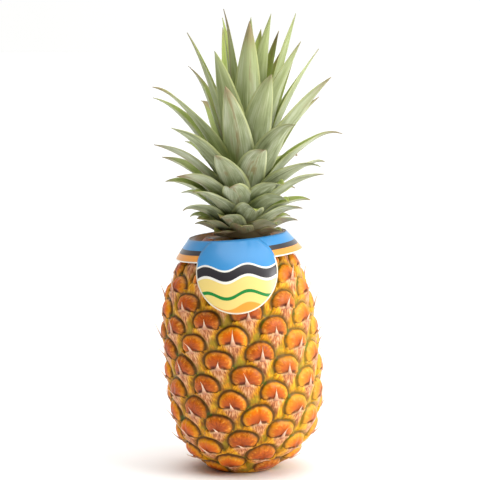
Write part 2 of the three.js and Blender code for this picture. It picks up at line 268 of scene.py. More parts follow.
class Graph:
    """A node material under construction."""

    def __init__(self, name):
        self.material = bpy.data.materials.new(name)
        self.material.use_nodes = True
        self.tree = self.material.node_tree
        self.shader = self.tree.nodes["Principled BSDF"]

    def put(self, socket, value):
        """Links a socket, or sets its value."""
        if isinstance(value, bpy.types.NodeSocket):
            self.tree.links.new(value, socket)
        else:
            socket.default_value = value

    def node(self, kind, inputs, **settings):
        """A new node with its inputs and settings."""
        made = self.tree.nodes.new(kind)
        for key, value in settings.items():
            setattr(made, key, value)
        for key, value in inputs.items():
            self.put(made.inputs[key], value)
        return made

    def field(self, name):
        """A value kept at the points of the mesh."""
        return self.node("ShaderNodeAttribute", {}, attribute_name=name).outputs["Fac"]

    def place(self):
        """The place in the part's own frame, in metres."""
        return self.node("ShaderNodeTexCoord", {}).outputs["Object"]

    def vector(self, x, y, z):
        """Three values as one vector."""
        return self.node("ShaderNodeCombineXYZ", {0: x, 1: y, 2: z}).outputs[0]

    def noise(self, where, scale, detail=3):
        """Soft noise between 0 and 1."""
        inputs = {"Vector": where, "Scale": scale, "Detail": detail}
        return self.node("ShaderNodeTexNoise", inputs).outputs["Fac"]

    def math(self, operation, first, second=0.0):
        """One operation on one or two values."""
        return self.node("ShaderNodeMath", {0: first, 1: second}, operation=operation).outputs[0]

    def scaled(self, value, factor, offset=0.0):
        """A value times a factor, plus an offset."""
        inputs = {0: value, 1: factor, 2: offset}
        return self.node("ShaderNodeMath", inputs, operation="MULTIPLY_ADD").outputs[0]

    def step(self, value, low, high):
        """Eases from 0 at low to 1 at high."""
        inputs = {"Value": value, "From Min": low, "From Max": high}
        return self.node("ShaderNodeMapRange", inputs, interpolation_type="SMOOTHSTEP").outputs[0]

    def band(self, value, middle, inner, outer):
        """1 within inner of the middle, fading to 0 at outer."""
        away = self.math("ABSOLUTE", self.math("SUBTRACT", value, middle))
        return self.step(away, outer, inner)

    def mix(self, share, first, second):
        """The first colour, with a share of the second."""
        made = self.node("ShaderNodeMix", {0: share}, data_type="RGBA")
        self.put(made.inputs[6], first)
        self.put(made.inputs[7], second)
        return made.outputs[2]

    def ramp(self, value, stops):
        """A colour picked along stops of position and colour."""
        made = self.node("ShaderNodeValToRGB", {0: value})
        elements = made.color_ramp.elements
        while len(elements) < len(stops):
            elements.new(1)
        for element, (position, shade) in zip(elements, stops):
            element.position = position
            element.color = shade
        return made.outputs["Color"]

    def bump(self, height, strength, distance):
        """Fine relief over the surface, with its distance in millimetres."""
        inputs = {"Height": height, "Strength": strength, "Distance": distance * MM}
        self.put(self.shader.inputs["Normal"], self.node("ShaderNodeBump", inputs).outputs["Normal"])

    def finish(self, **sockets):
        """The material, once the sockets of its shader are set."""
        for key, value in sockets.items():
            self.put(self.shader.inputs[key.replace("_", " ")], value)
        return self.material


def colour(red, green, blue):
    """A display colour from 0 to 255 as linear light with full cover."""
    raised = [(level / DISPLAY_LEVELS + DISPLAY_OFFSET) ** DISPLAY_POWER for level in (red, green, blue)]
    return (*(level / (1 + DISPLAY_OFFSET) ** DISPLAY_POWER for level in raised), 1)


def fruit_radius(z):
    """Radius of the fruit's outline over the tops of its eyes."""
    lower = (np.abs(WIDEST_HEIGHT - z) / LOWER_REACH) ** LOWER_POWER
    upper = (np.abs(z - WIDEST_HEIGHT) / UPPER_REACH) ** UPPER_POWER
    return FRUIT_RADIUS * np.sqrt(1 - np.where(z < WIDEST_HEIGHT, lower, upper))


PROFILE_Z = np.linspace(0, FRUIT_HEIGHT, PROFILE_STEPS + 1)
PROFILE_RADIUS = fruit_radius(PROFILE_Z)
PROFILE_LENGTHS = np.hypot(np.diff(PROFILE_Z), np.diff(PROFILE_RADIUS))
PROFILE_ALONG = np.concatenate([[0], np.cumsum(PROFILE_LENGTHS)])
PROFILE_BELTS = math.pi * (PROFILE_RADIUS[1:] + PROFILE_RADIUS[:-1]) * PROFILE_LENGTHS
PROFILE_AREA = np.concatenate([[0], np.cumsum(PROFILE_BELTS)])
PROFILE_RISE = np.gradient(PROFILE_Z, PROFILE_ALONG)
PROFILE_SPREAD = np.gradient(PROFILE_RADIUS, PROFILE_ALONG)
SKIN_LENGTH = PROFILE_ALONG[-1]


def radius_at(along):
    """Radius of the outline a distance along it from the base."""
    return np.interp(along, PROFILE_ALONG, PROFILE_RADIUS)


def skin_point(angle, along, lift):
    """Points of the skin at an angle from the front, lifted square to the outline."""
    z = np.interp(along, PROFILE_ALONG, PROFILE_Z)
    rise = np.interp(along, PROFILE_ALONG, PROFILE_RISE)
    spread = np.interp(along, PROFILE_ALONG, PROFILE_SPREAD)
    radius = radius_at(along) + lift * rise
    x = FRUIT_SWAY * np.sin(2 * math.pi * z / FRUIT_HEIGHT) + radius * np.sin(angle)
    return np.stack([x, -radius * np.cos(angle), np.maximum(z - lift * spread, 0)], axis=-1)


EYE_NUMBERS = np.arange(1, EYE_COUNT + 1)
EYE_ALONG = np.interp(EYE_NUMBERS * EYE_AREA, PROFILE_AREA, PROFILE_ALONG)
EYE_ANGLE = EYE_START_ANGLE - EYE_NUMBERS * GOLDEN_ANGLE
EYE_TONE = 0.5 + 0.5 * scatter(EYE_NUMBERS, 1, EYE_SEED)
EYE_ROLL = EYE_ROLL_LIMIT * scatter(EYE_NUMBERS, 6, EYE_SEED)
EYE_SIZE = 1 + EYE_SIZE_SCATTER * scatter(EYE_NUMBERS, 7, EYE_SEED)
EYE_LOBE_TURN = math.pi * scatter(EYE_NUMBERS, 8, EYE_SEED)


def eye_fields(angle, along):
    """For points of the skin: place in its eye, distance from the dome's middle, and which part it is."""
    turn = angle[:, None] - EYE_ANGLE[None, :]
    turn = np.arctan2(np.sin(turn), np.cos(turn))
    across = turn * (radius_at(along)[:, None] + radius_at(EYE_ALONG)[None, :]) / 2
    up = along[:, None] - EYE_ALONG[None, :] + CREVICE_DROP
    across, up = across + up * EYE_ROLL, up - across * EYE_ROLL
    over = up - DOME_RISE
    way = np.arctan2(over, across)
    lobed = EYE_SIZE * (1 + EYE_LOBE_DEPTH * np.sin(EYE_LOBE_COUNT * way + EYE_LOBE_TURN))
    reach = np.hypot(across / DOME_HALF_WIDTH, over / DOME_HALF_HEIGHT) / lobed
    above = up - CREVICE_PEAK + CREVICE_FALL * np.abs(across)
    rows = np.arange(len(angle))
    over_crevice = np.where(above > 0, reach, OUT_OF_REACH)
    dome = np.argmin(over_crevice, axis=1)
    on_dome = over_crevice[rows, dome] < 1
    bract = np.argmin(np.hypot(across, up + BRACT_CENTRE_DROP - CREVICE_DROP), axis=1)
    owner = np.where(on_dome, dome, bract)
    owned = np.arange(EYE_COUNT)[None, :] == owner[:, None]
    others = np.where(owned, OUT_OF_REACH, reach)
    nearest = np.sort(np.partition(others, 1, axis=1)[:, :2], axis=1)
    edge = np.where(on_dome, reach[rows, owner], np.maximum(nearest[:, 0], 1))
    second = np.where(on_dome, nearest[:, 0], nearest[:, 1])
    return {
        "eye_u": across[rows, owner],
        "eye_v": up[rows, owner],
        "eye_aside": np.abs(across[rows, owner]),
        "eye_above": above[rows, owner],
        "eye_way": way[rows, owner],
        "dome_edge": np.minimum(edge, EDGE_LIMIT),
        "on_dome": on_dome.astype(float),
        "eye_tone": EYE_TONE[owner],
        "corner": smooth_step(second, CORNER_FAR, CORNER_NEAR),
    }


def eye_lift(fields):
    """Height of the skin over its smooth outline, for points with their eye fields."""
    aside = fields["eye_aside"]
    above = fields["eye_above"]
    edge = fields["dome_edge"]
    wrinkles = np.sin(DOME_WRINKLES * fields["eye_way"] + WRINKLE_SHIFT * fields["eye_tone"])
    pucker = WRINKLE_DEPTH * wrinkles * smooth_step(edge, WRINKLE_START, WRINKLE_FULL)
    crease = CREASE_DEPTH * np.exp(-((aside / CREASE_WIDTH) ** 2))
    slit = smooth_step(aside, *CREVICE_MIDDLE) * smooth_step(aside, *CREVICE_END)
    crevice = CREVICE_DEPTH * np.exp(-((above / CREVICE_WIDTH) ** 2)) * slit
    dome = pucker - DOME_DEPTH * edge ** DOME_POWER - crease - crevice
    keel = KEEL_HEIGHT * np.exp(-((aside / KEEL_WIDTH) ** 2) + np.minimum(above, 0) / KEEL_LENGTH)
    slope = BRACT_DROP - keel + BRACT_FALL * np.maximum(-above, 0) + BRACT_ROUNDING * aside ** 2
    shoulder = smooth_step((edge - 1) * DOME_HALF_WIDTH, 0, GROOVE_WIDTH)
    bract = -GROOVE_DEPTH + (GROOVE_DEPTH - np.minimum(slope, GROOVE_DEPTH)) * shoulder
    return np.where(fields["on_dome"] > 0.5, dome, bract)


def relief_share(along):
    """How much of the relief is left near the base and the neck."""
    return smooth_step(along, 0, EYE_FADE) * smooth_step(SKIN_LENGTH - along, 0, EYE_FADE)


def cap_points(rim, height):
    """Rings and a middle point that close a flat end inside its rim."""
    middle = rim.mean(axis=0)
    rings = [middle + (rim - middle) * share for share in CAP_RINGS]
    points = np.concatenate([*rings, middle[None, :]])
    points[:, 2] = height
    return points


def cap_faces(rim_start, start, flip):
    """Faces between a rim, the rings inside it and the middle point."""
    rings = [rim_start] + [start + SKIN_COLUMNS * index for index in range(len(CAP_RINGS))]
    middle = start + SKIN_COLUMNS * len(CAP_RINGS)
    faces = []
    for column in range(SKIN_COLUMNS):
        following = (column + 1) % SKIN_COLUMNS
        for outer, inner in zip(rings, rings[1:]):
            faces.append([outer + column, inner + column, inner + following, outer + following])
        faces.append([rings[-1] + column, middle, rings[-1] + following])
    return [face[::-1] for face in faces] if flip else faces


# Rind: colours of its parts.
# Orange from the middle of a dome out to its rim; the bright yellow-orange stop near the rim is a painted rim
# highlight.
DOME_ORANGES_AND_RIM_HIGHLIGHT = (
    (0.1, colour(196, 88, 10)),
    (0.4, colour(220, 98, 0)),
    (0.64, colour(234, 120, 0)),
    (0.82, colour(244, 158, 14)),
    (0.97, colour(206, 126, 4)),
)
# Browns serve the eyes' own tone and painted shade on the left; the yellows below are partly ripening and
# partly painted light on the right.
DOME_BROWNS_AND_SHADE = ((0.35, colour(136, 54, 16)), (0.65, colour(204, 96, 20)))
DOME_RIPE_AND_LIT_YELLOWS = ((0.2, colour(230, 138, 30)), (0.8, colour(250, 196, 74)))
HEART_BROWN = colour(160, 74, 44)
# Small gold marks near the rim of each dome, painted highlights.
TICK_HIGHLIGHT_GOLD = colour(250, 190, 84)
BRACT_SALMONS = ((0.32, colour(150, 78, 50)), (0.5, colour(210, 132, 78)), (0.64, colour(242, 190, 140)))
FLANK_YELLOWS = ((0.32, colour(186, 110, 0)), (0.5, colour(230, 152, 0)), (0.66, colour(248, 194, 30)))
# Flank yellow towards the right side: partly ripening, partly painted light.
FLANK_RIPE_AND_LIT = colour(248, 202, 60)
MOSS_GREEN = colour(132, 128, 16)
# Pale line along the lip under each crevice, a painted highlight.
LIP_HIGHLIGHT_CREAM = colour(244, 200, 150)
# Dark brown painted shade in the crevice slits.
CREVICE_SHADE_BROWN = colour(84, 28, 12)
# Dark olive for the grooves: partly their own colour, partly painted shade.
GROOVE_OLIVE_AND_SHADE = colour(88, 58, 4)
# Groove and corner colours lighter towards the right: partly ripening, partly painted light.
GROOVE_RIPE_AND_LIT = colour(164, 128, 16)
CORNER_GREEN = colour(50, 78, 6)
CORNER_RIPE_AND_LIT = colour(132, 146, 24)
RIND_GLOSS = ((0.3, (0.34, 0.34, 0.34, 1)), (0.7, (0.52, 0.52, 0.52, 1)))

# Rind: how far to the right it turns riper and yellower, partly real ripening and partly painted light on the
# lit right side, in metres.
RIPE_AND_LIT_START = 0.012
RIPE_AND_LIT_FULL = 0.06
RIPE_AND_LIT_RAGGED = 0.04

# Rind: how its markings spread, with distances in millimetres from the crevice of each eye.
BLOTCH_SCALE = 110
GRAIN_SCALE = 420
RAY_SCALE = 2.0
RAY_TURN = 2.4
RAY_REACH = 2.2
RAY_SPREAD = 40
RAY_RAGGED = 0.5
HEART_HEIGHT = 7
HEART_SIDES = (9, 3)
STREAK_SCALE = 1.2
STREAK_ACROSS = 0.9
STREAK_ALONG = 0.2
STREAK_SPREAD = 30
FAN_SPREAD = -0.05
MOSS_TOP = -4
MOSS_FULL = -9
WEDGE_HALF_WIDTH = 6.6
WEDGE_SLOPE = 0.5
WEDGE_RAGGED = 4
WEDGE_BLUR = 2.5
LIP_DROP = -0.9
LIP_SIDES = (8, 4)
SLIT_RISE = 0.7
SLIT_SIDE = 3.6
GROOVE_EDGE = 1.03
VERGE_EDGE = 1.1
EDGE_RAGGED = 0.24


def rind_dome(graph, ripe_and_lit, blotch):
    """Colour of a dome: orange with a puckered rim that carries a painted rim highlight and small painted
    highlights, browner over its crevice; yellower to the right and browner to the left, partly ripening and
    partly painted light.
    """
    edge = graph.field("dome_edge")
    tone = graph.field("eye_tone")
    way = graph.scaled(graph.field("eye_way"), RAY_TURN)
    ray_place = graph.vector(way, graph.scaled(edge, RAY_REACH), graph.scaled(tone, RAY_SPREAD))
    rays = graph.noise(ray_place, RAY_SCALE, detail=4)
    wobble = graph.math("ADD", edge, graph.scaled(rays, RAY_RAGGED, -RAY_RAGGED / 2))
    # Browner to the left: random tone of the eye plus painted shade on the side away from the key lamp.
    brownness_and_left_shade = graph.math("SUBTRACT", graph.math("ADD", tone, blotch), graph.scaled(ripe_and_lit, factor=0.4))
    brown_and_shade_share = graph.scaled(graph.step(brownness_and_left_shade, low=0.75, high=1.3), factor=0.65)
    mottled = graph.mix(brown_and_shade_share, graph.ramp(wobble, DOME_ORANGES_AND_RIM_HIGHLIGHT), graph.ramp(rays, DOME_BROWNS_AND_SHADE))
    # Yellower to the right: partly ripening, partly painted light.
    ripened_and_lit = graph.mix(graph.scaled(ripe_and_lit, factor=0.4), mottled, graph.ramp(wobble, DOME_RIPE_AND_LIT_YELLOWS))
    over_crevice = graph.step(graph.field("eye_above"), HEART_HEIGHT, 0)
    heart = graph.math("MULTIPLY", over_crevice, graph.step(graph.field("eye_aside"), *HEART_SIDES))
    patchy = graph.math("MULTIPLY", heart, graph.step(rays, low=0.3, high=0.6))
    hearted = graph.mix(graph.scaled(patchy, factor=0.75), ripened_and_lit, HEART_BROWN)
    # Painted highlights: small gold ticks round the rim of the dome.
    tick_highlights = graph.math("MULTIPLY", graph.step(rays, low=0.55, high=0.72), graph.step(edge, low=0.4, high=0.8))
    return graph.mix(graph.scaled(tick_highlights, factor=0.5), hearted, TICK_HIGHLIGHT_GOLD)


def rind_bract(graph, ripe_and_lit, blotch):
    """Colour of a bract: a salmon wedge under the tip between yellow flanks that turn green lower down."""
    v = graph.field("eye_v")
    widening = graph.scaled(graph.math("MINIMUM", v, 0.0), FAN_SPREAD, 1.0)
    fan = graph.scaled(graph.math("DIVIDE", graph.field("eye_u"), widening), STREAK_ACROSS)
    spread = graph.scaled(graph.field("eye_tone"), STREAK_SPREAD)
    streaks = graph.noise(graph.vector(fan, graph.scaled(v, STREAK_ALONG), spread), STREAK_SCALE, detail=4)
    # Flanks yellower to the right: partly ripening, partly painted light.
    flank = graph.mix(graph.scaled(ripe_and_lit, factor=0.4), graph.ramp(streaks, FLANK_YELLOWS), FLANK_RIPE_AND_LIT)
    moss = graph.math("MULTIPLY", graph.step(v, MOSS_TOP, MOSS_FULL), graph.step(blotch, low=0.42, high=0.62))
    mossy = graph.mix(graph.scaled(moss, factor=0.7), flank, MOSS_GREEN)
    wedge = graph.math("SUBTRACT", graph.field("eye_aside"), graph.scaled(v, WEDGE_SLOPE, WEDGE_HALF_WIDTH))
    ragged = graph.math("ADD", wedge, graph.scaled(streaks, WEDGE_RAGGED, -WEDGE_RAGGED / 2))
    return graph.mix(graph.step(ragged, -WEDGE_BLUR, WEDGE_BLUR), graph.ramp(streaks, BRACT_SALMONS), mossy)


def rind_crevice(graph, skin, blotch):
    """The skin with a painted highlight along the lip under each crevice, and painted shade in the slit
    beside its middle.
    """
    above = graph.field("eye_above")
    aside = graph.field("eye_aside")
    # Painted highlight: a pale line along the lip under the crevice.
    lip_band = graph.band(above, LIP_DROP, inner=0.3, outer=1.2)
    lip_highlight = graph.math("MULTIPLY", lip_band, graph.step(aside, *LIP_SIDES))
    lip_highlighted = graph.mix(graph.scaled(lip_highlight, factor=0.45), skin, LIP_HIGHLIGHT_CREAM)
    # Painted shade: the slit beside the middle of each crevice is darkened, in patches.
    slit_band = graph.band(above, SLIT_RISE, inner=0.4, outer=1.9)
    slit = graph.math("MULTIPLY", slit_band, graph.band(aside, SLIT_SIDE, inner=1.2, outer=3.4))
    slit_shade = graph.math("MULTIPLY", slit, graph.step(blotch, low=0.34, high=0.56))
    return graph.mix(graph.scaled(slit_shade, factor=0.85), lip_highlighted, CREVICE_SHADE_BROWN)


def rind_groove(graph, skin, ripe_and_lit, blotch):
    """The skin darkened olive round the domes, partly the grooves' own colour and partly painted shade, green
    where three of them meet.
    """
    ragged = graph.math("ADD", graph.field("dome_edge"), graph.scaled(blotch, EDGE_RAGGED, -EDGE_RAGGED / 2))
    # Groove and corner colours turn lighter to the right, partly ripening and partly painted light.
    olive_and_shade = graph.mix(graph.scaled(ripe_and_lit, factor=0.75), GROOVE_OLIVE_AND_SHADE, GROOVE_RIPE_AND_LIT)
    green = graph.mix(graph.scaled(ripe_and_lit, factor=0.6), CORNER_GREEN, CORNER_RIPE_AND_LIT)
    corner = graph.step(graph.math("MULTIPLY", graph.field("corner"), blotch), low=0.18, high=0.4)
    hue = graph.mix(corner, olive_and_shade, green)
    # Painted shade: the skin darkens towards each groove and is nearly olive in its core, over the grooves'
    # own olive colour.
    verge_shade = graph.scaled(graph.band(ragged, VERGE_EDGE, inner=0.06, outer=0.26), factor=0.45)
    groove_shade = graph.scaled(graph.band(ragged, GROOVE_EDGE, inner=0.04, outer=0.14), factor=0.88)
    return graph.mix(groove_shade, graph.mix(verge_shade, skin, hue), hue)


def rind_material():
    """Waxy orange domes, salmon bracts with yellow flanks, olive grooves with green corners; riper and
    yellower to the right, partly painted light, with painted shade in the grooves and crevices and painted
    highlights on the rims and lips.
    """
    graph = Graph("rind")
    place = graph.place()
    east = graph.node("ShaderNodeSeparateXYZ", {0: place}).outputs["X"]
    blotch = graph.noise(place, BLOTCH_SCALE, detail=4)
    grain = graph.noise(place, GRAIN_SCALE, detail=4)
    # Mask of riper, yellower skin to the right: partly real ripening, partly painted light on the lit side
    # and painted shade on the left.
    ragged = graph.math("ADD", east, graph.scaled(blotch, RIPE_AND_LIT_RAGGED, -RIPE_AND_LIT_RAGGED / 2))
    ripe_and_lit = graph.step(ragged, RIPE_AND_LIT_START, RIPE_AND_LIT_FULL)
    skin = graph.mix(graph.field("on_dome"), rind_bract(graph, ripe_and_lit, blotch), rind_dome(graph, ripe_and_lit, blotch))
    final = rind_groove(graph, rind_crevice(graph, skin, blotch), ripe_and_lit, blotch)
    graph.bump(grain, strength=0.4, distance=0.6)
    return graph.finish(Base_Color=final, Roughness=graph.ramp(grain, RIND_GLOSS), Specular_IOR_Level=0.28)


def make_fruit():
    """The skin of the fruit with its eyes, closed by a flat base and a flat neck."""
    angle, along = np.meshgrid(
        np.arange(SKIN_COLUMNS) * 2 * math.pi / SKIN_COLUMNS,
        np.linspace(0, SKIN_LENGTH, SKIN_ROWS),
    )
    angle = angle.ravel()
    along = along.ravel()
    batches = np.array_split(np.arange(len(angle)), SKIN_BATCHES)
    parts = [eye_fields(angle[batch], along[batch]) for batch in batches]
    fields = {key: np.concatenate([part[key] for part in parts]) for key in parts[0]}
    skin = skin_point(angle, along, eye_lift(fields) * relief_share(along))
    base = cap_points(skin[:SKIN_COLUMNS], 0)
    neck = cap_points(skin[-SKIN_COLUMNS:], FRUIT_HEIGHT)
    faces = grid_faces(SKIN_ROWS, SKIN_COLUMNS)
    faces += cap_faces(0, len(skin), True)
    faces += cap_faces(len(skin) - SKIN_COLUMNS, len(skin) + len(base), False)
    plain = len(base) + len(neck)
    fields = {key: np.concatenate([values, np.full(plain, values[0])]) for key, values in fields.items()}
    points = np.concatenate([skin, base, neck])
    make_piece("fruit_skin", "fruit", points, faces, fields, rind_material())


def under_collar(index):
    """Whether the card lies over an eye and presses its tip flat."""
    x, y, z = skin_point(EYE_ANGLE[index], EYE_ALONG[index], 0)
    behind_disc = y < 0 and abs(x) < DISC_RADIUS and z > DISC_FOOT
    return z > BAND_FOOT or behind_disc


def tip_points(index):
    """One papery bract tip: front and back of a thin blade that rises over its eye."""
    number = index + 1
    share = np.linspace(0, 1, TIP_STATIONS)[:, None]
    length = TIP_LENGTH * (1 + TIP_LENGTH_SCATTER * scatter(number, 2, EYE_SEED))
    bend = TIP_BEND * scatter(number, 3, EYE_SEED) ** 3
    stand = TIP_STAND * (1 + TIP_STAND_SCATTER * scatter(number, 4, EYE_SEED))
    hook = TIP_HOOK * scatter(number, 5, EYE_SEED)
    if under_collar(index):
        stand = 0
        hook = 0
    across = np.linspace(-1, 1, TIP_COLUMNS)[None, :]
    point = TIP_POINT_WIDTH * (1 - TIP_POINT_TAPER * share)
    half = ((TIP_WIDTH - TIP_POINT_WIDTH) * (1 - share) ** 2 + point) / 2
    side = across * half + bend * share ** 2
    fold = TIP_FOLD * (1 - np.abs(across)) * (1 - share)
    lift = -TIP_ROOT + TIP_RISE * share ** 0.5 + stand * share ** 1.5 - hook * share ** 4 + fold
    up = EYE_ALONG[index] - CREVICE_DROP - TIP_ROOT + length * share + 0 * across
    angle = EYE_ANGLE[index] + side / radius_at(EYE_ALONG[index])
    thickness = TIP_THICKNESS * (1 - TIP_THINNING * share)
    front = skin_point(angle, up, lift + thickness / 2)
    back = skin_point(angle, up, lift - thickness / 2)
    ring = np.concatenate([front, back[:, ::-1]], axis=1)
    return ring, np.repeat(share, ring.shape[1], axis=1)


def blade_faces(stations, sides, start):
    """Faces round a closed blade with flat ends."""
    faces = grid_faces(stations, sides, start)
    first = list(range(start, start + sides))
    last = list(range(start + (stations - 1) * sides, start + stations * sides))
    return faces + [first[::-1], last]


# Bract tips: colours from foot to point.
TIP_COLOURS = (
    (0.1, colour(176, 104, 74)),
    (0.4, colour(228, 172, 134)),
    (0.8, colour(250, 226, 200)),
    (1.0, colour(232, 198, 156)),
)
TIP_FIBRE_SCALE = 500


def bract_material():
    """Dry papery bract, cream with a mauve foot."""
    graph = Graph("dry_bract")
    fibres = graph.noise(graph.place(), TIP_FIBRE_SCALE, detail=2)
    ragged = graph.math("ADD", graph.field("tip_along"), graph.scaled(fibres, factor=0.3))
    graph.bump(fibres, strength=0.3, distance=0.3)
    return graph.finish(Base_Color=graph.ramp(ragged, TIP_COLOURS), Roughness=0.7)


def make_bract_tips():
    """A papery tip for every eye that is clear of the base and the neck."""
    points = []
    faces = []
    shares = []
    for index in range(EYE_COUNT):
        if not TIP_MARGIN < EYE_ALONG[index] < SKIN_LENGTH - TIP_MARGIN:
            continue
        ring, share = tip_points(index)
        start = sum(len(part) for part in points)
        points.append(ring.reshape(-1, 3))
        shares.append(share.ravel())
        faces += blade_faces(ring.shape[0], ring.shape[1], start)
    fields = {"tip_along": np.concatenate(shares)}
    make_piece("bract_tips", "fruit", np.concatenate(points), faces, fields, bract_material())


def core_radius(height):
    """Radius of the crown's core at a height above its base."""
    return CORE_BASE_RADIUS + (CORE_TOP_RADIUS - CORE_BASE_RADIUS) * (height / CORE_HEIGHT)


def leaf_line(stage, index):
    """Middle line of a leaf in its own upright plane: distance out, height and lean at each station."""
    tilt = math.radians(stage["tilt"] + TILT_SCATTER * scatter(index, 1, LEAF_SEED))
    curl = math.radians(stage["curl"] + CURL_SCATTER * scatter(index, 2, LEAF_SEED))
    length = stage["length"] * (1 + LENGTH_SCATTER * scatter(index, 3, LEAF_SEED))
    hook = math.radians(stage["hook"] * max(scatter(index, 5, LEAF_SEED), 0))

    def lean_at(share):
        hooked = np.maximum(share - LEAF_HOOK_START, 0) / (1 - LEAF_HOOK_START)
        return tilt + curl * share ** LEAF_CURL_POWER + hook * hooked ** 2

    share = np.linspace(0, 1, LEAF_STEPS + 1)
    lean = lean_at((share[1:] + share[:-1]) / 2)
    start = core_radius(stage["height"]) * LEAF_SINK
    out = start + np.concatenate([[0], np.cumsum(np.sin(lean))]) * length / LEAF_STEPS
    height = stage["height"] + np.concatenate([[0], np.cumsum(np.cos(lean))]) * length / LEAF_STEPS
    stations = np.linspace(0, LEAF_END, LEAF_STATIONS)
    return stations, np.interp(stations, share, out), np.interp(stations, share, height), lean_at(stations)


def leaf_points(index):
    """One channelled leaf as closed rings of points, with its fields."""
    order = index / (LEAF_COUNT - 1)
    stage = {key: np.interp(order, LEAF_ORDER, values) for key, values in LEAF_STAGES.items()}
    share, out, height, lean = (values[:, None] for values in leaf_line(stage, index))
    turn = LEAF_START_ANGLE - index * GOLDEN_ANGLE
    turn += math.radians(TURN_SCATTER * scatter(index, 4, LEAF_SEED))
    across = np.linspace(-1, 1, LEAF_COLUMNS)[None, :]
    width = stage["width"] * (1 - share ** LEAF_TAPER)
    thickness = LEAF_BASE_THICKNESS + (LEAF_TIP_THICKNESS - LEAF_BASE_THICKNESS) * share
    half = thickness / 2 * (1 - LEAF_EDGE_THINNING * across ** 2)
    phase = LEAF_WAVE_SHIFT * scatter(index, 7, LEAF_SEED)
    ripple = np.sin(LEAF_WAVES_ALONG * share + LEAF_WAVES_ACROSS * across + phase)
    wave = LEAF_WAVE * width * ripple * np.abs(across)
    twist = LEAF_TWIST * scatter(index, 9, LEAF_SEED) * share * across * width / 2
    channel = width * LEAF_CHANNEL * np.abs(across) ** LEAF_CHANNEL_POWER + wave + twist
    bow = LEAF_BOW * scatter(index, 8, LEAF_SEED) * stage["length"] * share ** 2

    def face_points(lift):
        side = across * width / 2 + bow + 0 * lift
        return np.stack([side, -(out - lift * np.cos(lean)), height + lift * np.sin(lean)], axis=-1)

    ring = np.concatenate([face_points(channel - half), face_points(channel + half)[:, ::-1]], axis=1)
    sides = ring.shape[1]
    fields = {
        "leaf_across": np.repeat(np.concatenate([across, across[:, ::-1]], axis=1), len(share), axis=0),
        "leaf_along": np.repeat(share, sides, axis=1),
        "leaf_inner": np.repeat(np.repeat([[0.0, 1.0]], LEAF_COLUMNS, axis=1), len(share), axis=0),
        "leaf_tone": np.full((len(share), sides), 0.5 + 0.5 * scatter(index, 6, LEAF_SEED)),
        "leaf_order": np.full((len(share), sides), order),
    }
    return turned(ring, "Z", turn), fields


# Leaves: colours, and how often their markings repeat across and along a leaf.
LEAF_OUTER = ((0.25, colour(104, 110, 76)), (0.5, colour(166, 173, 138)), (0.75, colour(214, 218, 196)))
LEAF_INNER = ((0.25, colour(108, 128, 50)), (0.5, colour(158, 174, 84)), (0.75, colour(196, 206, 128)))
LEAF_YOUNG = colour(164, 178, 88)
LEAF_EDGE = colour(200, 202, 134)
# Painted shade at the feet of the leaves, where they crowd into the core.
LEAF_FOOT_SHADE = colour(92, 98, 56)
LEAF_STREAK = colour(138, 116, 66)
LEAF_DRY = colour(134, 104, 68)
LEAF_AGED = colour(122, 84, 58)
LEAF_SPREAD = 40
VEIN_SCALE = 1.6
VEINS_ACROSS = 11
VEINS_ALONG = 1.2
CLOUD_SCALE = 1.7
CLOUDS_ACROSS = 1.6
CLOUDS_ALONG = 2.4


def leaf_fresh(graph, veins, clouds):
    """Colour of a fresh leaf: grey-green outside, yellow-green inside and towards the heart of the crown,
    with painted shade at its foot.
    """
    along = graph.field("leaf_along")
    shade = graph.math("ADD", graph.scaled(veins, 0.55, offset=0.22), graph.scaled(clouds, 0.7, offset=-0.35))
    toned = graph.math("ADD", shade, graph.scaled(graph.field("leaf_tone"), 0.16, offset=-0.08))
    outer = graph.ramp(toned, LEAF_OUTER)
    fresh = graph.mix(graph.field("leaf_inner"), outer, graph.ramp(shade, LEAF_INNER))
    upper = graph.step(graph.field("leaf_order"), low=0.45, high=1.0)
    youth = graph.math("MULTIPLY", upper, graph.step(along, low=0.2, high=0.9))
    young = graph.mix(graph.scaled(youth, factor=0.55), fresh, LEAF_YOUNG)
    rim = graph.step(graph.math("ABSOLUTE", graph.field("leaf_across")), low=0.8, high=0.98)
    edged = graph.mix(graph.scaled(rim, factor=0.5), young, LEAF_EDGE)
    # Painted shade: darker towards each leaf's foot.
    return graph.mix(graph.scaled(graph.step(along, low=0.3, high=0.0), factor=0.6), edged, LEAF_FOOT_SHADE)


def leaf_dried(graph, fresh, veins, clouds):
    """The fresh colour with dry streaks down the middle, dry tips and browner lowest leaves."""
    along = graph.field("leaf_along")
    tone = graph.field("leaf_tone")
    aside = graph.math("ABSOLUTE", graph.field("leaf_across"))
    middle = graph.step(aside, low=0.6, high=0.1)
    midline = graph.math("MULTIPLY", middle, graph.step(along, low=0.1, high=0.45))
    cloudy = graph.step(clouds, low=0.46, high=0.62)
    streak = graph.math("MULTIPLY", cloudy, graph.step(tone, low=0.35, high=0.7))
    streak_share = graph.scaled(graph.math("MULTIPLY", midline, streak), factor=0.75)
    streaked = graph.mix(streak_share, fresh, LEAF_STREAK)
    worn = graph.math("ADD", along, graph.scaled(veins, 0.5, offset=-0.25))
    dry = graph.step(graph.math("ADD", worn, graph.scaled(tone, factor=0.2)), low=0.94, high=1.14)
    tipped = graph.mix(graph.scaled(dry, factor=0.8), streaked, LEAF_DRY)
    lowest = graph.step(graph.field("leaf_order"), low=0.14, high=0.0)
    age = graph.math("MULTIPLY", lowest, graph.step(clouds, low=0.35, high=0.6))
    return graph.mix(graph.scaled(age, factor=0.6), tipped, LEAF_AGED)


